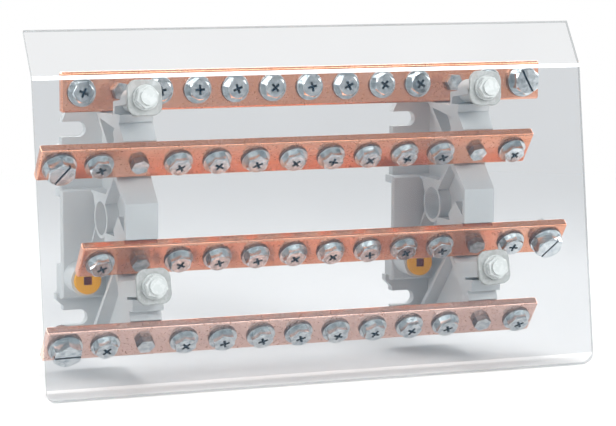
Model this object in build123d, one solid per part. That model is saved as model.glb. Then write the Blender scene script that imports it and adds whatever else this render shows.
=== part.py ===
# Bus bar distribution block: four copper bars on two open-web supports under a clear cover.
# Millimetres. X runs along the bars, the wall is the plane Y = 0 and the block stands on its -Y
# side, Z is up. The origin lies on the wall, half way between the supports and between the slots.
import os
from math import cos, radians, sin, tan

from build123d import *

os.makedirs("parts", exist_ok=True)

# Copper bars, all cut alike
bar_height = 20.0
bar_thickness = 5.0
bar_edge_radius = 0.5
hole_pitch = 20.0
hole_count = 13
bar_end = 10.0
first_fixing = 2
last_fixing = 11
bar_length = (hole_count - 1) * hole_pitch + 2 * bar_end
support_spacing = (last_fixing - first_fixing) * hole_pitch
bar_offset = (first_fixing + last_fixing - hole_count + 1) / 2 * hole_pitch

# Bar seats: distance of the seat face from the wall, height of its middle, lean of its face
bar_lean = 38.5
seat_1 = (21.9, 67.9, 0.0)
seat_2 = (52.9, 38.4, bar_lean)
seat_3 = (52.6, -9.4, bar_lean)
seat_4 = (60.3, -48.2, bar_lean)
seats = {1: seat_1, 2: seat_2, 3: seat_3, 4: seat_4}
bolt_side = {1: 1, 2: -1, 3: 1, 4: -1}

# Screws and bolts
thread_clearance = 0.3
terminal_thread = 6.0
terminal_head_flats = 10.0
terminal_head_height = 3.6
terminal_length = 10.0
terminal_washer_diameter = 14.4
terminal_washer_thickness = 1.3
end_thread = 8.0
end_head_flats = 13.0
end_head_height = 5.6
end_length = 14.0
end_washer_diameter = 17.0
end_washer_thickness = 1.6
fixing_thread = 5.0
fixing_head_flats = 8.0
fixing_head_height = 3.5
fixing_length = 12.0
insert_diameter = 7.6
insert_length = 8.0
insert_clearance = 0.15

# Clear cover
cover_width = 289.2
cover_thickness = 2.0
cover_lean = 8.0
cover_bend_depth = 63.7
cover_bend_height = 78.6
cover_flange = 26.0
cover_flange_lean = 34.6
cover_panel = 149.0
cover_lip = 6.0
cover_lip_lean = 22.0
cover_bend_radius = 3.0
cover_corner_radius = 5.0
cover_bolt_high = 67.2
cover_bolt_low = -22.4

# Nylon bolts and square washers on the cover
nylon_thread = 6.0
nylon_length = 18.0
nylon_head_flats = 10.0
nylon_head_height = 5.0
nylon_flange_diameter = 12.5
nylon_flange_thickness = 1.4
square_washer = 17.5
square_washer_thickness = 2.2
square_washer_radius = 5.0
square_washer_bevel = 0.8

# Support: outer form of the web, which narrows from the wall to its nose
web_width = 16.5
web_draft = 2.25
support_top = 76.0
support_foot = -60.0
seat_margin = 1.2
shelf_gap = 0.4
rim_depth = 43.8
band_depth = 53.3
band_low = 54.8
band_high = 58.5
pocket_depth = 46.0
ridge_root_depth = 52.0
nose_depth = 61.3
nose_top = 15.8
upper_arm_thickness = 2.6
arm_boss_diameter = 12.0
arm_boss_length = 17.0
lower_arm_above = 3.4
lower_arm_below = 4.8
lower_arm_root = (51.5, -23.2)
lower_slot_length = 14.2
lower_slot_width = 1.4
block_setback = 6.0
block_low = -35.4
undercut_depth = 65.2

# Support: middle plate, and the rims, ribs and seat blocks that stand out on both sides of it
core_thickness = 6.2
rim = 2.5
rib = 2.1
rib_slope = 46.6
upper_rib_slope = 45.0
cap_start = (23.4, 54.8)
cap_end = (45.8, 51.4)
back_pocket_top = 56.8
back_pocket_tip = 43.2
saddle_top = 17.5
middle_floor = -1.8
floor_rib = 5.0
floor_rib_start = 29.6
seat_block_corner = (2.1, -14.2)
seat_block_heel = (1.0, -10.9)
seat_block_top = (12.8, -12.9)
front_pocket_corner = (49.2, -29.1)
front_pocket_shelf = (60.3, -35.1)
seat_4_wall = 3.5
insert_boss_diameter = 11.0
insert_boss_length = 11.0

# Support: cable eye with the two ribs that tie it to the base
eye_depth = 24.0
eye_height = 4.7
eye_bore = 16.8
eye_wall = 1.6
eye_rib_top = (12.0, 16.2)
eye_rib_spread = 4.2
eye_rib_foot = -14.5
eye_rib = 2.0

# Support: base plate, slots and raised block
plate_thickness = 5.0
plate_left = -24.0
plate_step_left = -27.5
plate_top = 60.0
plate_chamfer = (4.0, 8.5)
plate_step_top = -35.0
plate_step_low = -38.0
slot_width = 7.8
slot_spacing = 95.2
slot_bottom = -11.5
block_depth = 10.0
block_left = -26.0
block_top = 18.0
block_foot = -37.3
block_bevel = 1.0

# Rail recess and quarter-turn lock
rail_height = 35.6
rail_top = 15.3
rail_depth = 7.8
hook_overlap = 1.2
hook_depth = 6.2
lock_x = -17.2
lock_z = -26.0
lock_boss_diameter = 16.0
lock_boss_depth = 24.0
lock_head_diameter = 13.6
lock_head_thickness = 2.4
lock_shank_diameter = 9.0
lock_cam_radius = 7.8
lock_cam_flat = 5.0
lock_cam_gap = 0.6
lock_clearance = 0.3
lock_head_gap = 0.2
lock_drive = 4.2
lock_drive_depth = 2.0


# A plane across the bars at x: its first axis leads away from the wall, its second one up
def side_plane(x=0.0):
    return Plane(origin=(x, 0, 0), x_dir=(0, -1, 0), z_dir=(-1, 0, 0))


# A point beside a seat: up along the seat face and out from it
def at_seat(number, up=0.0, out=0.0):
    depth, height, lean = seats[number]
    rise, lead = cos(radians(lean)), sin(radians(lean))
    return (depth + up * lead + out * rise, height + up * rise - out * lead)


# The plane of a seat face, with X along the bar and its normal out of the face
def seat_plane(number, x=0.0, out=0.0):
    depth, height = at_seat(number, 0.0, out)
    lean = radians(seats[number][2])
    return Plane(origin=(x, -depth, height), x_dir=(1, 0, 0), z_dir=(0, -cos(lean), -sin(lean)))


# Depth of the back face of the cover panel at a height
def cover_back(height):
    slope = radians(cover_lean)
    return cover_bend_depth + (cover_bend_height - height) * tan(slope) - cover_thickness / cos(slope)


# A point beside a cover bolt: up along the panel and in from the back face of the cover
def at_arm(bolt_height, up=0.0, inward=0.0):
    slope = radians(cover_lean)
    depth = cover_back(bolt_height) - up * sin(slope) - inward * cos(slope)
    return (depth, bolt_height + up * cos(slope) - inward * sin(slope))


# The plane of the back face of the cover at a bolt, moved out from it
def arm_plane(bolt_height, x=0.0, out=0.0):
    depth, height = at_arm(bolt_height, 0.0, -out)
    slope = radians(cover_lean)
    return Plane(origin=(x, -depth, height), x_dir=(1, 0, 0), z_dir=(0, -cos(slope), sin(slope)))


def rod(plane, diameter, length):
    return extrude(plane * Circle(diameter / 2), amount=length)


def hexagon(plane, flats, height):
    return extrude(plane * RegularPolygon(flats / 2, 6, major_radius=False), amount=height)


# Outer form of the web, from the foot along the seats to the top
def web_outline():
    arm_root = (seat_1[0], seat_1[1] - bar_height / 2 - shelf_gap)
    arm_reach = (cover_back(cover_bolt_high) - rim_depth) / cos(radians(cover_lean))
    pocket_reach = (cover_back(cover_bolt_high) - pocket_depth) / cos(radians(cover_lean))
    half = bar_height / 2
    foot_front = at_seat(4, -half - 2 * seat_margin)
    block_front = at_arm(cover_bolt_low, 0.0, block_setback)[0]
    points = [
        (0.0, support_foot),
        (foot_front[0] - seat_margin, support_foot),
        foot_front,
        at_seat(4, half),
        at_seat(4, half + seat_margin / 2, seat_margin / 2),
        (undercut_depth, block_low - seat_margin / 2),
        (undercut_depth, block_low),
        (block_front, block_low),
        at_arm(cover_bolt_low, -lower_arm_below - lower_slot_width, block_setback),
        at_arm(cover_bolt_low, -lower_arm_below - lower_slot_width, lower_slot_length),
        at_arm(cover_bolt_low, -lower_arm_below, lower_slot_length),
        at_arm(cover_bolt_low, -lower_arm_below),
        at_arm(cover_bolt_low, lower_arm_above),
        lower_arm_root,
        at_seat(3, -half - seat_margin),
        at_seat(3, half),
        (nose_depth, at_seat(3, half)[1]),
        (nose_depth, nose_top),
        at_seat(2, -half - seat_margin),
        at_seat(2, half),
        (ridge_root_depth, band_low),
        (band_depth, band_low),
        (band_depth, band_high),
        (pocket_depth, band_high),
        at_arm(cover_bolt_high, -upper_arm_thickness, pocket_reach),
        at_arm(cover_bolt_high, -upper_arm_thickness),
        at_arm(cover_bolt_high),
        at_arm(cover_bolt_high, 0.0, arm_reach),
        (rim_depth, arm_root[1]),
        arm_root,
        (seat_1[0], support_top),
        (0.0, support_top),
    ]
    return make_face(Polyline(*points, close=True))


# Half the width of the web at a depth
def web_half(depth):
    return web_width / 2 + (nose_depth - depth) * tan(radians(web_draft))


# A point on a line that rises outwards at a slope through a start, at a depth
def on_rise(start, slope, depth):
    return (depth, start[1] + (depth - start[0]) * tan(radians(slope)))


# Pocket under the cap, between the upper rib and the block of seat 2
def upper_pocket():
    corners = [at_seat(2, *seat_block_corner), at_seat(2, *seat_block_heel)]
    foot_depth = at_seat(2, -bar_height / 2 + seat_margin, seat_block_heel[1] + rim)[0]
    return [cap_start, cap_end, *corners, on_rise(cap_start, -upper_rib_slope, foot_depth)]


# Pocket between the base, the upper rib and the rib that rises from the cable eye
def back_pocket():
    under = (cap_start[0], cap_start[1] - rib / cos(radians(upper_rib_slope)))
    foot = (eye_depth + eye_bore / 2, saddle_top)
    run = (back_pocket_top - under[1]) / tan(radians(upper_rib_slope))
    return [
        (plate_thickness, back_pocket_top),
        (under[0] - run, back_pocket_top),
        on_rise(under, -upper_rib_slope, back_pocket_tip),
        on_rise(foot, rib_slope, back_pocket_tip),
        foot,
        (plate_thickness, saddle_top),
    ]


# Pocket between the raised block and the cable eye
def eye_pocket():
    return [
        (plate_thickness, eye_rib_top[1]),
        eye_rib_top,
        (eye_depth - eye_bore / 2, eye_height + eye_rib_spread),
        (eye_depth - eye_bore / 2, eye_height - eye_rib_spread),
        (plate_thickness, eye_rib_foot),
    ]


def middle_pocket():
    front = nose_depth - rim
    rib_line = (eye_depth + eye_bore / 2 + rib / sin(radians(rib_slope)), saddle_top)
    return [
        on_rise(rib_line, rib_slope, eye_depth + eye_wall),
        on_rise(rib_line, rib_slope, at_seat(2, -bar_height / 2)[0] - rim),
        (front, nose_top - seat_margin),
        (front, at_seat(3, seat_block_top[0], -rim)[1]),
        at_seat(3, *seat_block_top),
        at_seat(3, *seat_block_corner),
        at_seat(3, *seat_block_heel),
        (eye_depth + eye_wall, middle_floor),
    ]


# A point on the strut from the foot of the base to the lower end of seat 3, below its upper edge
def on_strut(below, depth):
    start = (strut_end()[0], strut_end()[1] - below / cos(radians(rib_slope)))
    return on_rise(start, rib_slope, depth)


def strut_end():
    return at_seat(3, -bar_height / 2 - seat_margin, -rim)


# Pocket behind the strut
def lower_pocket():
    floor = middle_floor - floor_rib
    inner = at_seat(3, -bar_height / 2 + seat_margin, seat_block_heel[1] + rim)
    return [
        (plate_thickness, eye_rib_foot - eye_rib),
        (eye_depth - eye_bore / 2 + eye_rib, eye_height - eye_rib_spread),
        (floor_rib_start, middle_floor),
        (floor_rib_start, floor),
        (inner[0], floor),
        inner,
        on_strut(0.0, inner[0]),
        on_strut(0.0, plate_thickness),
    ]


# Pocket between the strut, the lower arm and seat 4
def front_pocket():
    half = bar_height / 2
    foot = support_foot + rim
    return [
        on_strut(rib, strut_end()[0]),
        (front_pocket_corner[0], lower_arm_root[1] - rim),
        front_pocket_corner,
        front_pocket_shelf,
        at_seat(4, half - rim, -seat_4_wall),
        at_seat(4, -half, -seat_4_wall),
        (at_seat(4, -half, -seat_4_wall)[0] - seat_4_wall, foot),
        (plate_thickness + seat_4_wall, foot),
    ]


def web():
    outline = web_outline()
    ribs = outline
    for pocket in (upper_pocket, back_pocket, eye_pocket, middle_pocket, lower_pocket, front_pocket):
        ribs -= make_face(Polyline(*pocket(), close=True))
    eye = Pos(eye_depth, eye_height)
    ribs += eye * Circle(eye_bore / 2 + eye_wall)
    solid = extrude(side_plane() * outline, amount=core_thickness / 2, both=True)
    solid += extrude(side_plane() * ribs, amount=web_half(0.0), both=True)
    for number in seats:
        solid += rod(seat_plane(number), insert_boss_diameter, -insert_boss_length)
    solid &= drafted()
    return solid - extrude(side_plane() * (eye * Circle(eye_bore / 2)), amount=web_width, both=True)


# The tapering space that the web keeps to, or one that reaches further to the left
def drafted(left=0.0):
    reach = cover_back(support_foot)
    root, tip = web_half(0.0), web_half(reach)
    corners = [(-root - left, 0), (root, 0), (tip, -reach), (-tip - left, -reach)]
    plan = Plane.XY.offset(support_foot) * make_face(Polyline(*corners, close=True))
    return extrude(plan, amount=support_top - support_foot)


# Base plate with its two slots open to the left, and the raised block on it
def base():
    right = web_half(0.0)
    points = [
        (right, support_foot),
        (plate_left + plate_chamfer[0], support_foot),
        (plate_left, support_foot + plate_chamfer[1]),
        (plate_left, plate_step_low - (plate_left - plate_step_left)),
        (plate_step_left, plate_step_low),
        (plate_step_left, plate_step_top),
        (plate_left, plate_step_top),
        (plate_left, plate_top - plate_chamfer[1]),
        (plate_left + plate_chamfer[0], plate_top),
        (right, plate_top),
    ]
    face = make_face(Polyline(*points, close=True))
    slot_length = slot_bottom - plate_step_left
    for side in (-1, 1):
        middle = Pos(slot_bottom - slot_width / 2, side * slot_spacing / 2)
        face -= middle * Circle(slot_width / 2)
        face -= middle * Pos(-slot_length / 2, 0) * Rectangle(slot_length, slot_width)
    plate = extrude(Plane.XZ * face, amount=plate_thickness)
    raised = Pos((block_left + right) / 2, (block_top + block_foot) / 2)
    raised *= Rectangle(right - block_left, block_top - block_foot)
    block = extrude(Plane.XZ * raised, amount=block_depth)
    front_edges = block.faces().sort_by(Axis.Y)[0].edges()
    block = chamfer(front_edges.filter_by(Axis.X) + front_edges.sort_by(Axis.X)[:1], block_bevel)
    return (plate + block) & drafted(-plate_step_left)


# The plane across a lock's axis at a distance from the wall
def lock_plane(depth, x=0.0):
    return Plane(origin=(x + lock_x, -depth, lock_z), x_dir=(1, 0, 0), z_dir=(0, -1, 0))


# Everything that the rail and its lock need taken out of the base
def rail_space():
    foot = rail_top - rail_height
    shape = Pos(rail_depth / 2, (rail_top + foot) / 2) * Rectangle(rail_depth, rail_height)
    hook = Pos(hook_depth / 2, rail_top - hook_overlap / 2) * Rectangle(hook_depth, hook_overlap)
    recess = extrude(side_plane() * (shape - hook), amount=2 * web_width, both=True)
    recess += rod(lock_plane(0), 2 * (lock_cam_radius + lock_clearance), hook_depth)
    return recess + rod(lock_plane(0), lock_shank_diameter + 2 * lock_clearance, lock_boss_depth)


def support():
    body = web() + base()
    body += rod(lock_plane(plate_thickness), lock_boss_diameter, lock_boss_depth - plate_thickness)
    body += rod(arm_plane(cover_bolt_high), arm_boss_diameter, -arm_boss_length)
    body -= rail_space()
    for number in seats:
        hole = insert_diameter + 2 * insert_clearance
        body -= rod(seat_plane(number), hole, -insert_length)
    for height in (cover_bolt_high, cover_bolt_low):
        shank = nylon_length - cover_thickness - square_washer_thickness
        hole = nylon_thread + 2 * thread_clearance
        body -= rod(arm_plane(height), hole, -shank - thread_clearance)
    return body


# Position of a hole along a bar, counted from the end that carries the large bolt
def hole_x(number, index):
    return bolt_side[number] * (bar_length / 2 - bar_end - index * hole_pitch + bar_offset)


def terminal_positions(number):
    return [hole_x(number, i) for i in range(1, hole_count) if i not in (first_fixing, last_fixing)]


def fixing_positions(number):
    return [hole_x(number, first_fixing), hole_x(number, last_fixing)]


def bar(number):
    middle = bolt_side[number] * bar_offset
    face = Pos(middle, 0) * Rectangle(bar_length, bar_height)
    solid = extrude(seat_plane(number) * face, amount=bar_thickness)
    solid = fillet(solid.edges().filter_by(Axis.X), bar_edge_radius)
    for x in terminal_positions(number):
        solid -= rod(seat_plane(number, x), terminal_thread + 2 * thread_clearance, bar_thickness)
    for x in fixing_positions(number):
        solid -= rod(seat_plane(number, x), fixing_thread + 2 * thread_clearance, bar_thickness)
    end = seat_plane(number, hole_x(number, 0))
    return solid - rod(end, end_thread + 2 * thread_clearance, bar_thickness)


def washer(number, x, diameter, thread, thickness):
    plane = seat_plane(number, x, bar_thickness)
    return rod(plane, diameter, thickness) - rod(plane, thread + 2 * thread_clearance, thickness)


def screw(number, x, out, thread, length, flats, height):
    head = hexagon(seat_plane(number, x, out), flats, height)
    return head + rod(seat_plane(number, x, out), thread, -length)


def terminal_screw(number, x):
    out = bar_thickness + terminal_washer_thickness
    return screw(number, x, out, terminal_thread, terminal_length, terminal_head_flats, terminal_head_height)


def end_bolt(number):
    out = bar_thickness + end_washer_thickness
    return screw(number, hole_x(number, 0), out, end_thread, end_length, end_head_flats, end_head_height)


def fixing_bolt(number, x):
    size = [fixing_length, fixing_head_flats, fixing_head_height]
    return screw(number, x, bar_thickness, fixing_thread, *size)


def insert(number, x):
    outer = rod(seat_plane(number, x), insert_diameter, -insert_length)
    return outer - rod(seat_plane(number, x), fixing_thread + 2 * thread_clearance, -insert_length)


# Bent sheet from the line of its front face: top flange, panel, lip
def cover():
    panel_lean, flange_lean, lip_lean = (radians(a) for a in (cover_lean, cover_flange_lean, cover_lip_lean))
    bend = (cover_bend_depth, cover_bend_height)
    top = (bend[0] - cover_flange * sin(flange_lean), bend[1] + cover_flange * cos(flange_lean))
    foot = (bend[0] + cover_panel * sin(panel_lean), bend[1] - cover_panel * cos(panel_lean))
    tip = (foot[0] - cover_lip * sin(lip_lean), foot[1] - cover_lip * cos(lip_lean))
    line = FilletPolyline(top, bend, foot, tip, radius=cover_bend_radius)
    strip = make_face(offset(line, cover_thickness, side=Side.RIGHT))
    sheet = extrude(side_plane() * strip, amount=cover_width / 2, both=True)
    corners = sheet.edges().filter_by(Axis.X, reverse=True).sort_by(Axis.Z)[:2]
    sheet = fillet(corners, cover_corner_radius)
    for height in (cover_bolt_high, cover_bolt_low):
        for side in (-1, 1):
            plane = arm_plane(height, side * support_spacing / 2)
            sheet -= rod(plane, nylon_thread + 2 * thread_clearance, cover_thickness)
    return sheet


def cover_places():
    return [(h, s * support_spacing / 2) for h in (cover_bolt_high, cover_bolt_low) for s in (-1, 1)]


def cover_washer(height, x):
    plane = arm_plane(height, x, cover_thickness)
    square = RectangleRounded(square_washer, square_washer, square_washer_radius)
    plate = extrude(plane * square, amount=square_washer_thickness)
    front = plate.faces().sort_by(Axis.Y)[0].edges()
    plate = chamfer(front, square_washer_bevel)
    return plate - rod(plane, nylon_thread + 2 * thread_clearance, square_washer_thickness)


def cover_bolt(height, x):
    plane = arm_plane(height, x, cover_thickness + square_washer_thickness)
    body = rod(plane, nylon_flange_diameter, nylon_flange_thickness)
    body += hexagon(plane, nylon_head_flats, nylon_flange_thickness + nylon_head_height)
    return body + rod(plane, nylon_thread, -nylon_length)


# Quarter-turn lock: head with its drive, shank, and a cam that a turn brings clear of the rail
def rail_lock(x):
    head_back = lock_boss_depth + lock_head_gap
    head = rod(lock_plane(head_back, x), lock_head_diameter, lock_head_thickness)
    drive = lock_plane(head_back + lock_head_thickness, x) * Rectangle(lock_drive, lock_drive)
    head -= extrude(drive, amount=-lock_drive_depth)
    shank = rod(lock_plane(lock_cam_gap, x), lock_shank_diameter, head_back - lock_cam_gap)
    width = 2 * lock_cam_radius
    cut = Pos(-lock_cam_radius - lock_cam_flat, 0) * Rectangle(width, width)
    cam = lock_plane(lock_cam_gap, x) * (Circle(lock_cam_radius) - cut)
    return head + shank + extrude(cam, amount=hook_depth - 2 * lock_cam_gap)


def save(name, *solids):
    export_step(Compound(children=[s for piece in solids for s in piece.solids()]), f"parts/{name}.step")


for label, side in (("left", -1), ("right", 1)):
    x = side * support_spacing / 2
    save(f"support_{label}", Pos(x, 0, 0) * support())
    save(f"inserts_{label}", *(insert(number, x) for number in seats))
    save(f"rail_lock_{label}", rail_lock(x))
for number in seats:
    places = terminal_positions(number)
    save(f"bar_{number}", bar(number))
    save(f"terminal_screws_{number}", *(terminal_screw(number, x) for x in places))
    washers = [terminal_washer_diameter, terminal_thread, terminal_washer_thickness]
    save(f"terminal_washers_{number}", *(washer(number, x, *washers) for x in places))
    save(f"fixing_bolts_{number}", *(fixing_bolt(number, x) for x in fixing_positions(number)))
save("end_bolts", *(end_bolt(number) for number in seats))
end_washer = [end_washer_diameter, end_thread, end_washer_thickness]
save("end_washers", *(washer(number, hole_x(number, 0), *end_washer) for number in seats))
save("cover_sheet", cover())
save("cover_washers", *(cover_washer(*place) for place in cover_places()))
save("cover_bolts", *(cover_bolt(*place) for place in cover_places()))
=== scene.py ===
import math
import random

import bmesh
import bpy
from mathutils import Matrix, Vector


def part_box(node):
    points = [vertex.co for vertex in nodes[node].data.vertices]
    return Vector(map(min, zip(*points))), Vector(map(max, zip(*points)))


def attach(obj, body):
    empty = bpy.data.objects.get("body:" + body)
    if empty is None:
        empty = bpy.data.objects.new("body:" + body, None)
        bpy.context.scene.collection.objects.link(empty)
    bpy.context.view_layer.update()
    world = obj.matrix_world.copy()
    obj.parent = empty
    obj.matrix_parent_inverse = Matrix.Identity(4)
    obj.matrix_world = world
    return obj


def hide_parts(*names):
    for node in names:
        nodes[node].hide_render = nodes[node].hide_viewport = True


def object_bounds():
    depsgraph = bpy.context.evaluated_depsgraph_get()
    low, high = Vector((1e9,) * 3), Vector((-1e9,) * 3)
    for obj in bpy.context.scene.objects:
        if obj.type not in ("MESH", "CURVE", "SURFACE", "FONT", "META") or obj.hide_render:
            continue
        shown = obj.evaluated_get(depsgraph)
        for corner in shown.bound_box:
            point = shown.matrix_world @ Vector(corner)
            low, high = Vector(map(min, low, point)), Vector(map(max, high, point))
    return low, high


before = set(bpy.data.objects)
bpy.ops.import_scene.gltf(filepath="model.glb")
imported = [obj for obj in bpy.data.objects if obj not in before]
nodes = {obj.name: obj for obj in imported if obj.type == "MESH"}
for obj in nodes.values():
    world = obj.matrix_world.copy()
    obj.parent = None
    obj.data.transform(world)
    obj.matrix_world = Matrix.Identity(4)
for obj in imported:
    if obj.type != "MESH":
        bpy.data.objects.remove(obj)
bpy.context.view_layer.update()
random.seed(7)
print("frame loaded:", len(nodes), "nodes")


class Wire:
    # one output of a node, which can stand in sums
    def __init__(self, maker, socket):
        self.maker = maker
        self.socket = socket

    def output(self, name):
        # another output of the same node
        return Wire(self.maker, self.socket.node.outputs[name])

    def combine(self, operation, first, second):
        return self.maker.add("Math", {0: first, 1: second}, {"operation": operation})

    def __add__(self, other):
        return self.combine("ADD", self, other)

    def __radd__(self, other):
        return self.combine("ADD", other, self)

    def __sub__(self, other):
        return self.combine("SUBTRACT", self, other)

    def __rsub__(self, other):
        return self.combine("SUBTRACT", other, self)

    def __mul__(self, other):
        return self.combine("MULTIPLY", self, other)

    def __rmul__(self, other):
        return self.combine("MULTIPLY", other, self)

    def __truediv__(self, other):
        return self.combine("DIVIDE", self, other)

    def above(self, other):
        return self.combine("GREATER_THAN", self, other)

    def clipped(self):
        return self.maker.add("Clamp", {"Value": self})


class NodeMaker:
    # the nodes of a material or of the world
    def __init__(self, owner):
        owner.use_nodes = True
        self.tree = owner.node_tree
        self.tree.nodes.clear()

    def add(self, kind, sockets=None, settings=None):
        # settings come first, then each socket gets its value or its link
        node = self.tree.nodes.new("ShaderNode" + kind)
        for key, value in (settings or {}).items():
            if key == "stops":
                self.setStops(node.color_ramp, value)
            else:
                setattr(node, key, value)
        for key, value in (sockets or {}).items():
            if isinstance(value, Wire):
                self.tree.links.new(value.socket, node.inputs[key])
            else:
                node.inputs[key].default_value = value
        return Wire(self, node.outputs[0]) if node.outputs else None

    def setStops(self, ramp, stops):
        for place, tone in stops[len(ramp.elements):]:
            ramp.elements.new(place)
        for element, (place, tone) in zip(ramp.elements, stops):
            element.position = place
            element.color = tone

    def blend(self, share, first, second):
        # a colour mix has its share at 0, its colours at 6 and 7 and the result at 2
        return self.add("Mix", {0: share, 6: first, 7: second}, {"data_type": "RGBA"}).output(2)

    def layer(self, share, first, second):
        return self.add("MixShader", {0: share, 1: first, 2: second})


class Finish(NodeMaker):
    # one material
    def __init__(self, name):
        self.material = bpy.data.materials.new(name)
        super().__init__(self.material)

    def position(self):
        return self.add("TexCoord").output("Object")

    def noise(self, size, detail, stretch=(1, 1, 1)):
        # size in millimetres, stretched where the pattern runs long
        scale = tuple(1000 / part for part in stretch)
        place = self.add("Mapping", {"Vector": self.position(), "Scale": scale})
        return self.add("TexNoise", {"Vector": place, "Scale": 1 / size, "Detail": detail})

    def bump(self, height, strength, distance=0.0002):
        return self.add("Bump", {"Height": height, "Strength": strength, "Distance": distance})

    def done(self, shader):
        self.add("OutputMaterial", {"Surface": shader})
        return self.material

    def surface(self, sockets):
        return self.done(self.add("BsdfPrincipled", sockets))


def colour(red, green, blue):
    return (red, green, blue, 1)


def shaded(tone, share):
    return colour(*(part * share for part in tone[:3]))


def varied(base, *swings):
    # each noise swings the value about its base by an amount
    for noise, amount in swings:
        base = base + (noise - 0.5) * amount
    return base


plastic = {"light": colour(0.69, 0.71, 0.71), "dark": colour(0.61, 0.63, 0.63),
           "cloudSize": 14, "grainSize": 0.35, "bump": 0.12,
           "rough": 0.42, "grainRough": 0.12, "cloudRough": 0.08}


def greyPlastic():
    finish = Finish("greyPlastic")
    cloud = finish.noise(plastic["cloudSize"], detail=2)
    grain = finish.noise(plastic["grainSize"], detail=2)
    tone = finish.blend(cloud, plastic["dark"], plastic["light"])
    rough = varied(plastic["rough"], (grain, plastic["grainRough"]), (cloud, plastic["cloudRough"]))
    return finish.surface({"Base Color": tone, "Roughness": rough,
                           "Normal": finish.bump(grain, plastic["bump"])})


# the stains are specks above a noise level; the lower bars are painted paler below a height, a
# painted reflection
copper = {"bright": colour(0.98, 0.53, 0.37), "deep": colour(0.90, 0.40, 0.23),
          "stain": colour(0.45, 0.19, 0.10), "paintedSheen": colour(1.0, 0.74, 0.66),
          "cloudSize": 11, "cloudStretch": (2, 1, 1), "cloudGain": 2.2, "cloudShift": 0.6,
          "streakSize": 0.5, "streakStretch": (60, 1, 1), "streakRough": 0.20,
          "stainSize": 0.9, "stainLevel": 0.54, "stainGain": 8, "stainShare": 0.65,
          "stainRough": 0.3, "sheenTop": -0.02, "sheenGain": 40, "sheenShare": 0.8,
          "dentSize": 2.2, "dentHeight": 1.5, "streakHeight": 0.5, "bump": 0.14,
          "metal": 0.9, "rough": 0.17}


def polishedCopper():
    finish = Finish("polishedCopper")
    streak = finish.noise(copper["streakSize"], detail=4, stretch=copper["streakStretch"])
    cloud = finish.noise(copper["cloudSize"], detail=3, stretch=copper["cloudStretch"])
    speck = finish.noise(copper["stainSize"], detail=5)
    dent = finish.noise(copper["dentSize"], detail=4)
    height = finish.add("SeparateXYZ", {"Vector": finish.position()}).output("Z")
    patch = (cloud * copper["cloudGain"] - copper["cloudShift"]).clipped()
    # painted reflection: the copper turns paler below a height
    low = ((copper["sheenTop"] - height) * copper["sheenGain"]).clipped() * copper["sheenShare"]
    stain = ((speck - copper["stainLevel"]) * copper["stainGain"]).clipped()
    stain = stain * copper["stainShare"]
    tone = finish.blend(patch, copper["deep"], copper["bright"])
    tone = finish.blend(low, tone, copper["paintedSheen"])
    tone = finish.blend(stain, tone, copper["stain"])
    rough = varied(copper["rough"], (streak, copper["streakRough"])) + stain * copper["stainRough"]
    relief = streak * copper["streakHeight"] + dent * copper["dentHeight"]
    return finish.surface({"Base Color": tone, "Metallic": copper["metal"], "Roughness": rough,
                           "Normal": finish.bump(relief, copper["bump"])})


# each finish is a share of the colours and a roughness; the recess and side finishes are painted
# shade, and the rim finish is a duller sheared edge with painted shade
zinc = {"bright": colour(0.90, 0.94, 0.95), "blue": colour(0.44, 0.49, 0.51),
        "cloudSize": 2.4, "cloudGain": 2.4, "cloudShift": 0.6, "cloudRough": 0.1,
        "grainSize": 0.3, "grainRough": 0.2, "bump": 0.2, "bumpDepth": 0.0001,
        "face": (1.0, 0.12), "recess": (0.10, 0.5), "rim": (0.30, 0.35), "side": (0.8, 0.14)}


def zincPlate(name, share, rough):
    finish = Finish(name)
    cloud = finish.noise(zinc["cloudSize"], detail=3)
    grain = finish.noise(zinc["grainSize"], detail=3)
    patch = (cloud * zinc["cloudGain"] - zinc["cloudShift"]).clipped()
    tone = finish.blend(patch, shaded(zinc["blue"], share), shaded(zinc["bright"], share))
    rough = varied(rough, (grain, zinc["grainRough"]), (cloud, zinc["cloudRough"]))
    relief = finish.bump(grain, zinc["bump"], zinc["bumpDepth"])
    return finish.surface({"Base Color": tone, "Metallic": 1.0, "Roughness": rough,
                           "Normal": relief})


# each finish is a share of the colours and an alpha; the washers' smaller share is painted shade, a
# darker copy of the same nylon
nylon = {"light": colour(0.44, 0.465, 0.465), "dark": colour(0.34, 0.365, 0.365),
         "cloudSize": 2.6, "cloudRough": 0.12, "rough": 0.27, "grainSize": 0.5, "bump": 0.08,
         "bolt": (1.0, 1.0), "washer": (0.78, 0.80)}


def whiteNylon(name, share, alpha):
    finish = Finish(name)
    cloud = finish.noise(nylon["cloudSize"], detail=3)
    tone = finish.blend(cloud, shaded(nylon["dark"], share), shaded(nylon["light"], share))
    rough = varied(nylon["rough"], (cloud, nylon["cloudRough"]))
    relief = finish.bump(finish.noise(nylon["grainSize"], detail=2), nylon["bump"])
    return finish.surface({"Base Color": tone, "Roughness": rough, "Alpha": alpha,
                           "Normal": relief})


lockPaint = {"light": colour(1.0, 0.50, 0.003), "dark": colour(0.92, 0.40, 0.002),
             "cloudSize": 5, "cloudRough": 0.1, "rough": 0.34, "grainSize": 0.5, "bump": 0.1,
             "well": colour(0.17, 0.012, 0.004), "wellLight": colour(0.30, 0.07, 0.02),
             "wellSize": 0.8, "wellRough": 0.45, "wellSpread": 0.2}


def yellowPlastic():
    finish = Finish("yellowPlastic")
    cloud = finish.noise(lockPaint["cloudSize"], detail=2)
    tone = finish.blend(cloud, lockPaint["dark"], lockPaint["light"])
    rough = varied(lockPaint["rough"], (cloud, lockPaint["cloudRough"]))
    relief = finish.bump(finish.noise(lockPaint["grainSize"], detail=2), lockPaint["bump"])
    return finish.surface({"Base Color": tone, "Roughness": rough, "Normal": relief})


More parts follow.
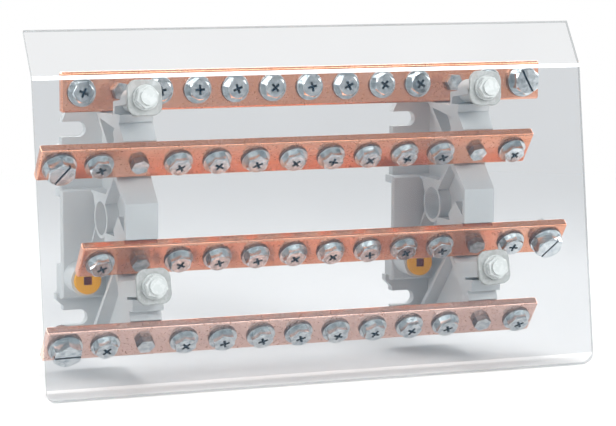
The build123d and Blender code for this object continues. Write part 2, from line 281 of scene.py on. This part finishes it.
def lockWell():
    # the drive of the lock, painted dark red shade inside its recess
    finish = Finish("lockWell")
    cloud = finish.noise(lockPaint["wellSize"], detail=3)
    tone = finish.blend(cloud, lockPaint["well"], lockPaint["wellLight"])
    rough = varied(lockPaint["wellRough"], (cloud, lockPaint["wellSpread"]))
    return finish.surface({"Base Color": tone, "Roughness": rough})


brass = {"light": colour(0.76, 0.57, 0.27), "dark": colour(0.60, 0.42, 0.16),
         "grainSize": 0.6, "rough": 0.3, "grainRough": 0.2}


def insertBrass():
    finish = Finish("insertBrass")
    grain = finish.noise(brass["grainSize"], detail=3)
    tone = finish.blend(grain, brass["dark"], brass["light"])
    rough = varied(brass["rough"], (grain, brass["grainRough"]))
    return finish.surface({"Base Color": tone, "Metallic": 1.0, "Roughness": rough})


# the alphas say how much of each stretch of the clear sheet is seen; the flange's low alpha makes
# it lighter than the panel, a painted reflection
sheet = {"tint": colour(0.012, 0.044, 0.078), "panel": 0.20, "flange": 0.075, "lip": 0.12,
         "hazeSize": 60, "haze": 0.03, "rough": 0.05,
         "edge": 0.46, "edgeDark": colour(0.13, 0.16, 0.165), "edgeLight": colour(0.22, 0.26, 0.27),
         "edgeHazeSize": 40, "edgeHaze": 0.2, "edgeRough": 0.15,
         "bend": 0.9, "lipBend": 0.10, "bendHighlightTone": colour(0.95, 0.97, 0.98),
         "bendHazeSize": 30, "bendStretch": (4, 1, 1), "bendHaze": 0.1, "bendRough": 0.08}


def clearSheet(name, alpha):
    finish = Finish(name)
    haze = finish.noise(sheet["hazeSize"], detail=2)
    return finish.surface({"Base Color": sheet["tint"], "Roughness": sheet["rough"],
                           "Alpha": varied(alpha, (haze, sheet["haze"]))})


def clearEdge():
    finish = Finish("clearEdge")
    haze = finish.noise(sheet["edgeHazeSize"], detail=2)
    tone = finish.blend(haze, sheet["edgeDark"], sheet["edgeLight"])
    return finish.surface({"Base Color": tone, "Roughness": sheet["edgeRough"],
                           "Alpha": varied(sheet["edge"], (haze, sheet["edgeHaze"]))})


def clearBendHighlight(name, alpha):
    # a painted highlight: the bent sheet shows as a whitish band
    finish = Finish(name)
    haze = finish.noise(sheet["bendHazeSize"], detail=2, stretch=sheet["bendStretch"])
    return finish.surface({"Base Color": sheet["bendHighlightTone"], "Roughness": sheet["bendRough"],
                           "Alpha": varied(alpha, (haze, sheet["bendHaze"]))})


greyMaterial = greyPlastic()
copperMaterial = polishedCopper()
zincMaterial = zincPlate("zincPlate", *zinc["face"])
# painted shade: a darker copy of the zinc for the recesses of the heads
recessMaterial = zincPlate("zincRecessShade", *zinc["recess"])
# darker zinc: on washer rims a duller sheared edge with painted shade of the gap beneath, on the
# fixing heads' sides painted shade
rimMaterial = zincPlate("zincRimShade", *zinc["rim"])
# painted shade: a darker copy of the zinc for the sides of the screw and bolt heads
sideShadeMaterial = zincPlate("zincSideShade", *zinc["side"])
nylonMaterial = whiteNylon("whiteNylon", *nylon["bolt"])
thinShadedNylonMaterial = whiteNylon("thinShadedNylon", *nylon["washer"])
yellowMaterial = yellowPlastic()
wellShadeMaterial = lockWell()
brassMaterial = insertBrass()
sheetMaterial = clearSheet("clearSheet", sheet["panel"])
litFlangeMaterial = clearSheet("clearFlangeLit", sheet["flange"])
edgeMaterial = clearEdge()
bendHighlightMaterial = clearBendHighlight("clearBendHighlight", sheet["bend"])
lipMaterial = clearSheet("clearLip", sheet["lip"])
lipBendHighlightMaterial = clearBendHighlight("clearLipBendHighlight", sheet["lipBend"])
headFinish = (zincMaterial, recessMaterial, sideShadeMaterial)
ringFinish = (zincMaterial, rimMaterial)
print("materials ready")


merging = {"distance": 1e-6, "flatAngle": 0.5}  # points this near, and faces this flat, merge
smoothAngle = {"turned": 40, "moulded": 35, "sheet": 25}  # sharper edges than these stay crisp
facingShare = 0.5  # of a face's normal, over which the face looks along an axis


def clearSelection():
    if bpy.context.object and bpy.context.object.mode != "OBJECT":
        bpy.ops.object.mode_set(mode="OBJECT")
    bpy.ops.object.select_all(action="DESELECT")


def pick(piece):
    clearSelection()
    piece.select_set(True)
    bpy.context.view_layer.objects.active = piece


def openAll(piece):
    # edit mode with the whole mesh selected
    pick(piece)
    bpy.ops.object.mode_set(mode="EDIT")
    bpy.ops.mesh.select_all(action="SELECT")


def closeMesh():
    bpy.ops.object.mode_set(mode="OBJECT")


def applyModifier(piece, kind, **settings):
    pick(piece)
    modifier = piece.modifiers.new(kind.lower(), kind)
    for key, value in settings.items():
        setattr(modifier, key, value)
    bpy.ops.object.modifier_apply(modifier=modifier.name)


def roundEdges(piece, width, segments, angle):
    # only edges that turn by more than the angle are rounded
    applyModifier(piece, "BEVEL", width=width, segments=segments, limit_method="ANGLE",
                  angle_limit=math.radians(angle))


def smooth(piece, make):
    pick(piece)
    bpy.ops.object.shade_smooth_by_angle(angle=math.radians(smoothAngle[make]))


def settle(piece):
    # the place goes into the mesh and the object stays at the origin
    pick(piece)
    bpy.ops.object.transform_apply(location=True, rotation=True, scale=True)


def dress(piece, name, *materials):
    piece.name = name
    piece.data.name = name
    places = [face.material_index for face in piece.data.polygons]
    piece.data.materials.clear()
    for material in materials:
        piece.data.materials.append(material)
    for face, place in zip(piece.data.polygons, places):
        face.material_index = min(place, len(materials) - 1)


def paintShadedSides(piece, place):
    # faces that stand along Z take the material at that place in the list; every caller gives a
    # darker zinc there, painted shade
    for face in piece.data.polygons:
        if abs(face.normal.z) < facingShare:
            face.material_index = place


def cutWith(piece, tool, operation="DIFFERENCE"):
    applyModifier(piece, "BOOLEAN", object=tool, operation=operation, solver="EXACT")
    bpy.data.objects.remove(tool)


def addObject(name, data):
    thing = bpy.data.objects.new(name, data)
    bpy.context.scene.collection.objects.link(thing)
    return thing


def addRod(sides, diameter, length, middle):
    clearSelection()
    bpy.ops.mesh.primitive_cylinder_add(vertices=sides, radius=diameter / 2, depth=length,
                                        location=(0, 0, middle))
    return bpy.context.object


def addBlock(length, width, height, middle=0):
    clearSelection()
    bpy.ops.mesh.primitive_cube_add(size=1, location=(0, 0, middle))
    block = bpy.context.object
    block.scale = (length, width, height)
    settle(block)
    return block


def placedCopy(master, matrix):
    copy = addObject(master.name, master.data.copy())
    copy.data.transform(matrix)
    return copy


def mergedCopy(node):
    # a CAD node's loose triangles, merged to faces that can be bevelled
    piece = addObject(node + "Copy", nodes[node].data.copy())
    openAll(piece)
    bpy.ops.mesh.remove_doubles(threshold=merging["distance"])
    bpy.ops.mesh.dissolve_limited(angle_limit=math.radians(merging["flatAngle"]))
    closeMesh()
    return piece


def joinAll(pieces):
    clearSelection()
    for piece in pieces:
        piece.select_set(True)
    bpy.context.view_layer.objects.active = pieces[0]
    bpy.ops.object.join()
    return pieces[0]


def carry(piece, body, slot, *replaced):
    # large faces stay flat in shading and the bevels carry the bend
    applyModifier(piece, "WEIGHTED_NORMAL", keep_sharp=True)
    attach(piece, body)
    if replaced:
        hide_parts(*replaced)


def placeGroup(master, matrices, name, finish, slot, node):
    # one copy of the master at each place, joined to one piece
    group = joinAll([placedCopy(master, matrix) for matrix in matrices])
    dress(group, name, *finish)
    carry(group, "block", slot, node)


def facingMatrix(place, lean, out, spin):
    # a frame on a leaning face: X along the part, Y up the face, Z out of it
    lean = math.radians(lean)
    up = Vector((0, -math.sin(lean), math.cos(lean)))
    outward = Vector((0, -math.cos(lean), -math.sin(lean)))
    turn = Matrix((Vector((1, 0, 0)), up, outward)).transposed().to_4x4()
    twist = Matrix.Rotation(math.radians(spin), 4, "Z")
    return Matrix.Translation(place + outward * out) @ turn @ twist


# hole 0 is the end bolt's; a bar leans forward by its lean in degrees
bars = {"height": 0.020, "thickness": 0.005, "edge": 0.00115, "edgeSegments": 4, "edgeAngle": 30,
        "pitch": 0.020, "holes": 13, "end": 0.010, "fixings": (2, 11),
        "lean": {1: 0.0, 2: 38.5, 3: 38.5, 4: 38.5}, "boltSide": {1: 1, 2: -1, 3: 1, 4: -1}}
barNumbers = tuple(bars["lean"])


def seatMatrix(number, x, out=0.0, spin=0.0):
    # a frame on the bar's front face, or out of it by a height
    low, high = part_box(f"bar_{number}")
    middle = (low + high) / 2
    place = Vector((x, middle.y, middle.z))
    return facingMatrix(place, bars["lean"][number], bars["thickness"] / 2 + out, spin)


def holeX(number, index):
    low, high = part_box(f"bar_{number}")
    side = bars["boltSide"][number]
    end = high.x if side > 0 else low.x
    return end - side * (bars["end"] + index * bars["pitch"])


def makeBar(number):
    low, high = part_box(f"bar_{number}")
    piece = addBlock(high.x - low.x, bars["height"], bars["thickness"])
    roundEdges(piece, bars["edge"], bars["edgeSegments"], bars["edgeAngle"])
    piece.data.transform(seatMatrix(number, (low.x + high.x) / 2, -bars["thickness"] / 2))
    smooth(piece, "turned")
    dress(piece, f"copperBar{number}", copperMaterial)
    carry(piece, "block", "copper", f"bar_{number}")


for number in barNumbers:
    makeBar(number)
print("bars made")


# each kind of screw is modelled once about Z, with the face that it sits on at zero

# overshoot is how far a cutting tool stands out of a head
heads = {"chamfer": 30, "sides": 64, "edge": 0.0002, "edgeSegments": 2, "edgeAngle": 28,
         "overshoot": 0.0005}


def hexHead(flats, height, topShare):
    # a cone turns the corners down; its top is a share of the width over the flats
    head = addRod(6, flats / math.sqrt(3) * 2, height, height / 2)
    top = flats / 2 * topShare
    bpy.ops.mesh.primitive_cone_add(
        vertices=heads["sides"], radius1=top + height / math.tan(math.radians(heads["chamfer"])),
        radius2=top, depth=height, location=(0, 0, height / 2))
    cutWith(head, bpy.context.object, "INTERSECT")
    settle(head)
    return head


def steelHead(screw, name):
    head = hexHead(screw["flats"], screw["height"], screw["topShare"])
    roundEdges(head, heads["edge"], heads["edgeSegments"], heads["edgeAngle"])
    dress(head, name, *headFinish)
    # the sides take the painted shade
    paintShadedSides(head, 2)
    return head


thread = {"depth": 0.54, "steps": 20, "weld": 1e-7}  # the depth is a share of the pitch


def threadedRod(diameter, length, pitch):
    # one turn of a ridge, screwed down the shank and closed at both ends
    crestRadius = diameter / 2
    rootRadius = crestRadius - thread["depth"] * pitch
    clearSelection()
    bpy.ops.mesh.primitive_circle_add(vertices=3, radius=pitch, fill_type="NOTHING")
    rod = bpy.context.object
    bpy.ops.object.mode_set(mode="EDIT")
    shape = bmesh.from_edit_mesh(rod.data)
    shape.verts.ensure_lookup_table()
    profile = ((rootRadius, 0), (crestRadius, -pitch / 2), (rootRadius, -pitch))
    for vertex, (radius, height) in zip(shape.verts, profile):
        vertex.co = (radius, 0, height)
    crest = shape.verts[1]
    closing = [edge for edge in shape.edges if crest not in edge.verts]
    bmesh.ops.delete(shape, geom=closing, context="EDGES")
    bmesh.update_edit_mesh(rod.data)
    closeMesh()
    applyModifier(rod, "SCREW", steps=thread["steps"], render_steps=thread["steps"],
                  screw_offset=-pitch, iterations=round(length / pitch) - 1,
                  use_merge_vertices=True, merge_threshold=merging["distance"],
                  use_normal_calculate=True)
    openAll(rod)
    bpy.ops.mesh.remove_doubles(threshold=thread["weld"])
    bpy.ops.mesh.select_all(action="DESELECT")
    bpy.ops.mesh.select_non_manifold()
    bpy.ops.mesh.fill()
    bpy.ops.mesh.select_all(action="SELECT")
    bpy.ops.mesh.normals_make_consistent(inside=False)
    closeMesh()
    return rod


def shankedBolt(head, screw):
    # the head's thread is joined on, and the whole takes its smooth shading
    bolt = joinAll([head, threadedRod(screw["shank"], screw["length"], screw["pitch"])])
    smooth(bolt, "turned")
    return bolt


def recessTool(length, width, depth, top, endShare=1.0, sideShare=1.0):
    # cuts a slot or one arm of a cross, may narrow downwards, and leaves the second material, the
    # painted shade of the recess
    tool = addBlock(length, width, depth, top - depth / 2)
    for vertex in tool.data.vertices:
        if vertex.co.z < top - depth / 2:
            vertex.co.x *= endShare
            vertex.co.y *= sideShare
        else:
            vertex.co.z += heads["overshoot"]
    dress(tool, "recessTool", zincMaterial, recessMaterial)
    for face in tool.data.polygons:
        face.material_index = 1
    return tool


# play is how much wider the bore is than the shank
washers = {"outerSides": 56, "innerSides": 40, "play": 0.0006,
           "edge": 0.0002, "edgeSegments": 2, "edgeAngle": 50}


def flatWasher(diameter, shank, thickness):
    ring = addRod(washers["outerSides"], diameter, thickness, thickness / 2)
    bore = addRod(washers["innerSides"], shank + washers["play"], thickness * 2, thickness / 2)
    cutWith(ring, bore)
    settle(ring)
    roundEdges(ring, washers["edge"], washers["edgeSegments"], washers["edgeAngle"])
    smooth(ring, "turned")
    dress(ring, "flatWasher", *ringFinish)
    # the rim takes the darker zinc, partly painted shade
    paintShadedSides(ring, 1)
    return ring


# the ten terminal screws of each bar and their captive washers
m6 = {"flats": 0.010, "height": 0.0036, "topShare": 0.96, "washer": 0.0013,
      "washerDiameter": 0.0144, "shank": 0.006, "length": 0.010, "pitch": 0.001,
      "crossLength": 0.0058, "crossWidth": 0.00135, "crossDepth": 0.0022,
      "crossEnd": 0.3, "crossSide": 0.6}


def terminalScrew():
    head = steelHead(m6, "screwHead")
    for turn in (0, 90):
        arm = recessTool(m6["crossLength"], m6["crossWidth"], m6["crossDepth"], m6["height"],
                         m6["crossEnd"], m6["crossSide"])
        arm.data.transform(Matrix.Rotation(math.radians(turn), 4, "Z"))
        cutWith(head, arm)
    return shankedBolt(head, m6)


def placeScrews():
    # the crosses stand as they were left, each at its own turn
    screw = terminalScrew()
    ring = flatWasher(m6["washerDiameter"], m6["shank"], m6["washer"])
    for number in barNumbers:
        places = [holeX(number, i) for i in range(1, bars["holes"]) if i not in bars["fixings"]]
        seats = [seatMatrix(number, x, m6["washer"], random.uniform(0, 360)) for x in places]
        placeGroup(screw, seats, f"terminalScrews{number}", headFinish, "zinc_plated_steel",
                   f"terminal_screws_{number}")
        seats = [seatMatrix(number, x) for x in places]
        placeGroup(ring, seats, f"terminalWashers{number}", ringFinish, "zinc_plated_steel",
                   f"terminal_washers_{number}")
    bpy.data.objects.remove(screw)
    bpy.data.objects.remove(ring)


placeScrews()
print("terminal screws made")


# the large bolt at one end of each bar; turn is where its slot points, in degrees
m8 = {"flats": 0.013, "height": 0.0056, "topShare": 0.96, "washer": 0.0016,
      "washerDiameter": 0.017, "shank": 0.008, "length": 0.014, "pitch": 0.00125,
      "slotLength": 0.03, "slotWidth": 0.0011, "slotDepth": 0.002,
      "turn": {1: -62, 2: 62, 3: 62, 4: 2}}


def placeEndBolts():
    head = steelHead(m8, "boltHead")
    cutWith(head, recessTool(m8["slotLength"], m8["slotWidth"], m8["slotDepth"], m8["height"]))
    bolt = shankedBolt(head, m8)
    ring = flatWasher(m8["washerDiameter"], m8["shank"], m8["washer"])
    seats = [seatMatrix(number, holeX(number, 0), m8["washer"], m8["turn"][number])
             for number in barNumbers]
    placeGroup(bolt, seats, "endBolts", headFinish, "zinc_plated_steel", "end_bolts")
    seats = [seatMatrix(number, holeX(number, 0)) for number in barNumbers]
    placeGroup(ring, seats, "endWashers", ringFinish, "zinc_plated_steel", "end_washers")
    bpy.data.objects.remove(bolt)
    bpy.data.objects.remove(ring)


placeEndBolts()


# the two bolts that fix each bar, turned down less at the corners
m5 = {"flats": 0.008, "height": 0.0035, "topShare": 1.10, "shank": 0.005, "length": 0.012,
      "pitch": 0.0008, "edge": 0.00018, "edgeSegments": 2, "edgeAngle": 40}


def placeFixingBolts():
    head = hexHead(m5["flats"], m5["height"], m5["topShare"])
    roundEdges(head, m5["edge"], m5["edgeSegments"], m5["edgeAngle"])
    dress(head, "fixingHead", *ringFinish)
    # the sides take the darker zinc, painted shade
    paintShadedSides(head, 1)
    bolt = shankedBolt(head, m5)
    for number in barNumbers:
        seats = [seatMatrix(number, holeX(number, i), 0, random.uniform(0, 60))
                 for i in bars["fixings"]]
        placeGroup(bolt, seats, f"fixingBolts{number}", ringFinish, "zinc_plated_steel",
                   f"fixing_bolts_{number}")
    bpy.data.objects.remove(bolt)


placeFixingBolts()
print("bolts made")


supports = {"edge": 0.00035, "edgeSegments": 2, "edgeAngle": 40}


def makeSupport(side):
    piece = mergedCopy(f"support_{side}")
    roundEdges(piece, supports["edge"], supports["edgeSegments"], supports["edgeAngle"])
    smooth(piece, "moulded")
    dress(piece, f"{side}Support", greyMaterial)
    carry(piece, "block", "grey_plastic", f"support_{side}")


# the walls of the square drive lie within well of the axis, between these depths
lock = {"edge": 0.0003, "edgeSegments": 2, "edgeAngle": 40,
        "well": 0.0023, "wellStart": 0.0003, "wellDepth": 0.0024}


def makeLock(side):
    piece = mergedCopy(f"rail_lock_{side}")
    roundEdges(piece, lock["edge"], lock["edgeSegments"], lock["edgeAngle"])
    smooth(piece, "moulded")
    dress(piece, f"{side}RailLock", yellowMaterial, wellShadeMaterial)
    low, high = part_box(f"rail_lock_{side}")
    middle = (low + high) / 2
    # the faces inside the square drive take the painted shade
    for face in piece.data.polygons:
        across = max(abs(face.center.x - middle.x), abs(face.center.z - middle.z))
        depth = low.y + lock["wellStart"] < face.center.y < low.y + lock["wellDepth"]
        if across < lock["well"] and depth:
            face.material_index = 1
    carry(piece, f"{side}_lock", "yellow_plastic", f"rail_lock_{side}")


def makeInserts(side):
    # these stay as they are in the CAD model and only get their brass
    slots = nodes[f"inserts_{side}"].data.materials
    slots.clear()
    slots.append(brassMaterial)


for side in ("left", "right"):
    makeSupport(side)
    makeLock(side)
    makeInserts(side)
print("supports made")


# the panel leans back, and the upper bend lies between bandLow and bandHigh
cover = {"lean": -8.0, "bandLow": 0.0770, "bandHigh": 0.0789, "lipTop": -0.068,
         "arcArea": 0.0002, "topEnd": 0.002, "lipEnd": 0.001,
         "skins": {"panel": sheetMaterial, "edge": edgeMaterial, "bend": bendHighlightMaterial,
                   "flange": litFlangeMaterial, "lip": lipMaterial, "lipBend": lipBendHighlightMaterial}}


def coverSkin(face, low, high):
    # which stretch of the bent sheet a face belongs to
    height = face.center.z
    outward = face.normal.y < 0
    atEnd = height > high.z - cover["topEnd"] or height < low.z + cover["lipEnd"]
    if abs(face.normal.x) > facingShare or atEnd:
        return "edge"
    # the upper bend's outward faces take the painted highlight
    if cover["bandLow"] < height < cover["bandHigh"] and outward:
        return "bend"
    # the flange takes the lower alpha that paints it lighter
    if height > cover["bandLow"]:
        return "flange"
    if height < cover["lipTop"]:
        # the lip's outward arc faces take a fainter painted highlight
        return "lipBend" if outward and face.area < cover["arcArea"] else "lip"
    return "panel"


def makeCover():
    low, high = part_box("cover_sheet")
    piece = mergedCopy("cover_sheet")
    for height in (cover["bandLow"], cover["bandHigh"]):
        openAll(piece)
        bpy.ops.mesh.bisect(plane_co=(0, 0, height), plane_no=(0, 0, 1))
        closeMesh()
    smooth(piece, "sheet")
    dress(piece, "coverSheet", *cover["skins"].values())
    skins = list(cover["skins"])
    for face in piece.data.polygons:
        face.material_index = skins.index(coverSkin(face, low, high))
    carry(piece, "block", "clear_plastic", "cover_sheet")


makeCover()


def islandCentres(node):
    # middle of each separate solid of a CAD node, from the lowest up and left to right
    shape = bmesh.new()
    shape.from_mesh(nodes[node].data)
    bmesh.ops.remove_doubles(shape, verts=shape.verts, dist=merging["distance"])
    left = set(shape.verts)
    centres = []
    while left:
        group = [left.pop()]
        island = list(group)
        while group:
            vertex = group.pop()
            for edge in vertex.link_edges:
                other = edge.other_vert(vertex)
                if other in left:
                    left.remove(other)
                    group.append(other)
                    island.append(other)
        low = Vector([min(v.co[i] for v in island) for i in range(3)])
        high = Vector([max(v.co[i] for v in island) for i in range(3)])
        centres.append((low + high) / 2)
    shape.free()
    return sorted(centres, key=lambda place: (round(place.z, 3), place.x))


# the four square washers and nylon bolts that hold the cover
hold = {"washer": 0.0175, "washerThickness": 0.0022, "washerRadius": 0.005, "cornerSegments": 8,
        "bevel": 0.0008, "bevelSegments": 3, "bevelAngle": 60,
        "bore": 0.0066, "boreSides": 32, "boreLength": 0.01, "washerSpin": 4,
        "flats": 0.010, "height": 0.0050, "topShare": 0.97, "boltSides": 48,
        "flange": 0.0125, "flangeThickness": 0.0014, "round": 0.0078, "top": 0.0064,
        "edge": 0.0004, "edgeSegments": 3, "edgeAngle": 25,
        "shank": 0.006, "length": 0.018, "pitch": 0.001}


def squareWasher():
    thickness = hold["washerThickness"]
    plate = addBlock(hold["washer"], hold["washer"], thickness)
    bpy.ops.object.mode_set(mode="EDIT")
    bpy.ops.mesh.select_mode(type="EDGE")
    bpy.ops.mesh.select_all(action="DESELECT")
    shape = bmesh.from_edit_mesh(plate.data)
    for edge in shape.edges:
        edge.select = abs(edge.verts[0].co.z - edge.verts[1].co.z) > thickness / 2
    bmesh.update_edit_mesh(plate.data)
    bpy.ops.mesh.bevel(offset=hold["washerRadius"], segments=hold["cornerSegments"],
                       affect="EDGES")
    closeMesh()
    roundEdges(plate, hold["bevel"], hold["bevelSegments"], hold["bevelAngle"])
    cutWith(plate, addRod(hold["boreSides"], hold["bore"], hold["boreLength"], 0))
    smooth(plate, "moulded")
    return plate


def nylonBolt():
    # a hexagon on a round flange, with a round top
    head = hexHead(hold["flats"], hold["height"], hold["topShare"])
    for diameter, height in ((hold["flange"], hold["flangeThickness"]),
                             (hold["round"], hold["top"])):
        cutWith(head, addRod(hold["boltSides"], diameter, height, height / 2), "UNION")
    roundEdges(head, hold["edge"], hold["edgeSegments"], hold["edgeAngle"])
    return shankedBolt(head, hold)


def placeHolders():
    plate = squareWasher()
    bolt = nylonBolt()
    plateSeats = []
    boltSeats = []
    for place in islandCentres("cover_washers"):
        spin = random.uniform(-hold["washerSpin"], hold["washerSpin"])
        plateSeats.append(facingMatrix(place, cover["lean"], 0, spin))
        spin = random.uniform(0, 60)
        boltSeats.append(facingMatrix(place, cover["lean"], hold["washerThickness"] / 2, spin))
    placeGroup(plate, plateSeats, "coverWashers", [thinShadedNylonMaterial], "white_nylon",
               "cover_washers")
    placeGroup(bolt, boltSeats, "coverBolts", [nylonMaterial], "white_nylon", "cover_bolts")
    bpy.data.objects.remove(plate)
    bpy.data.objects.remove(bolt)


placeHolders()
print("cover made")


# gloss is the brightness that metal mirrors, from straight down (0) to straight up (1)
studio = {"floorGap": 0.0005, "floorSize": 6.0, "paint": 0.91,
          "glow": 0.10, "glowStart": 0.40, "glowRun": 0.5,
          "ambient": 0.275, "ambientTone": colour(0.92, 0.97, 1.0), "mirror": 2.75,
          "gloss": ((0.0, 0.35), (0.49, 0.38), (0.53, 0.60), (0.59, 0.60), (0.64, 0.32),
                    (0.72, 0.14), (0.86, 0.10), (0.94, 0.22), (1.0, 0.26)),
          "window": (-0.35, -0.70, 0.60), "windowSize": 0.95, "windowLight": 6.0,
          "strip": (0.62, 0.78), "stripLight": 20.0, "white": colour(1, 1, 1)}


def whiteStage(name):
    # paint that takes shadows near the object and turns plain white further out
    finish = Finish(name)
    gap = finish.add("VectorMath", {"Vector": finish.position()}, {"operation": "LENGTH"})
    far = ((gap.output("Value") - studio["glowStart"]) / studio["glowRun"]).clipped()
    share = studio["glow"] + (1 - studio["glow"]) * far
    rays = finish.add("LightPath")
    seen = rays.output("Is Camera Ray") + rays.output("Is Glossy Ray")
    seen = seen + rays.output("Is Transmission Ray")
    paint = finish.add("BsdfDiffuse", {"Color": shaded(studio["white"], studio["paint"])})
    light = finish.add("Emission", {"Color": studio["white"], "Strength": 1.0})
    return finish.done(finish.layer(seen.clipped() * share, paint, light))


def makeFloor():
    clearSelection()
    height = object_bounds()[0][2] - studio["floorGap"]
    bpy.ops.mesh.primitive_plane_add(size=studio["floorSize"], location=(0, 0, height))
    floor = bpy.context.object
    settle(floor)
    dress(floor, "studioFloor", whiteStage("studioFloorPaint"))


def makeWorld():
    # even light on the object and white behind it; only metal and gloss mirror the dark
    # ceiling with its window and its bright strip
    world = bpy.data.worlds.new("studioSky")
    bpy.context.scene.world = world
    maker = NodeMaker(world)
    direction = maker.add("TexCoord").output("Generated")
    rise = maker.add("SeparateXYZ", {"Vector": direction}).output("Z") * 0.5 + 0.5
    stops = [(place, colour(level, level, level)) for place, level in studio["gloss"]]
    ceiling = maker.add("ValToRGB", {"Fac": rise}, {"stops": stops})
    window = Vector(studio["window"]).normalized()
    facing = maker.add("VectorMath", {0: direction, 1: window}, {"operation": "DOT_PRODUCT"})
    shine = facing.output("Value").above(studio["windowSize"]) * studio["windowLight"]
    shine = shine + studio["mirror"]
    stripLow, stripHigh = studio["strip"]
    shine = shine + rise.above(stripLow) * (1 - rise.above(stripHigh)) * studio["stripLight"]
    mirrored = maker.add("Background", {"Color": ceiling, "Strength": shine})
    white = maker.add("Background", {"Color": studio["white"], "Strength": 1.0})
    sky = maker.add("Background", {"Color": studio["ambientTone"], "Strength": studio["ambient"]})
    rays = maker.add("LightPath")
    for ray, seen in (("Is Glossy Ray", mirrored), ("Is Transmission Ray", white),
                      ("Is Camera Ray", white)):
        sky = maker.layer(rays.output(ray), sky, seen)
    maker.add("OutputWorld", {"Surface": sky})


lamps = {"keyLamp": {"place": (0.8, -1.7, 1.0), "target": (0, 0, 0), "size": (0.8, 0.8),
                     "power": 46},
         "sideLamp": {"place": (-0.95, -0.45, 0.35), "target": (-0.1, -0.02, 0),
                      "size": (0.4, 0.6), "power": 6.6},
         "topLamp": {"place": (0.1, 0.1, 1.7), "target": (0, 0, 0), "size": (1.0, 0.8),
                     "power": 25}}


def makeLamp(name, values):
    lamp = bpy.data.lights.new(name, "AREA")
    lamp.shape = "RECTANGLE"
    lamp.size, lamp.size_y = values["size"]
    lamp.energy = values["power"]
    holder = addObject(name, lamp)
    holder.location = values["place"]
    holder.visible_glossy = False  # metal mirrors the sky's soft window instead
    aim = Vector(values["target"]) - Vector(values["place"])
    holder.rotation_euler = aim.to_track_quat("-Z", "Y").to_euler()


camera = {"place": (-0.4482, -1.2002, 0.1635), "right": (0.9317, -0.3632, 0.0025),
          "view": (0.3606, 0.9241, -0.1265), "lens": 145.1, "sensor": 36}


def makeCamera():
    lens = bpy.data.cameras.new("photoCamera")
    holder = addObject("photoCamera", lens)
    right = Vector(camera["right"]).normalized()
    up = right.cross(Vector(camera["view"]).normalized()).normalized()
    view = up.cross(right)
    turn = Matrix((right, up, -view)).transposed().to_4x4()
    holder.matrix_world = Matrix.Translation(camera["place"]) @ turn
    lens.sensor_width = camera["sensor"]
    lens.sensor_fit = "HORIZONTAL"
    lens.lens = camera["lens"]
    bpy.context.scene.camera = holder


makeFloor()
makeWorld()
for name, values in lamps.items():
    makeLamp(name, values)
makeCamera()
bpy.context.scene.view_settings.view_transform = "Standard"
print("studio ready")
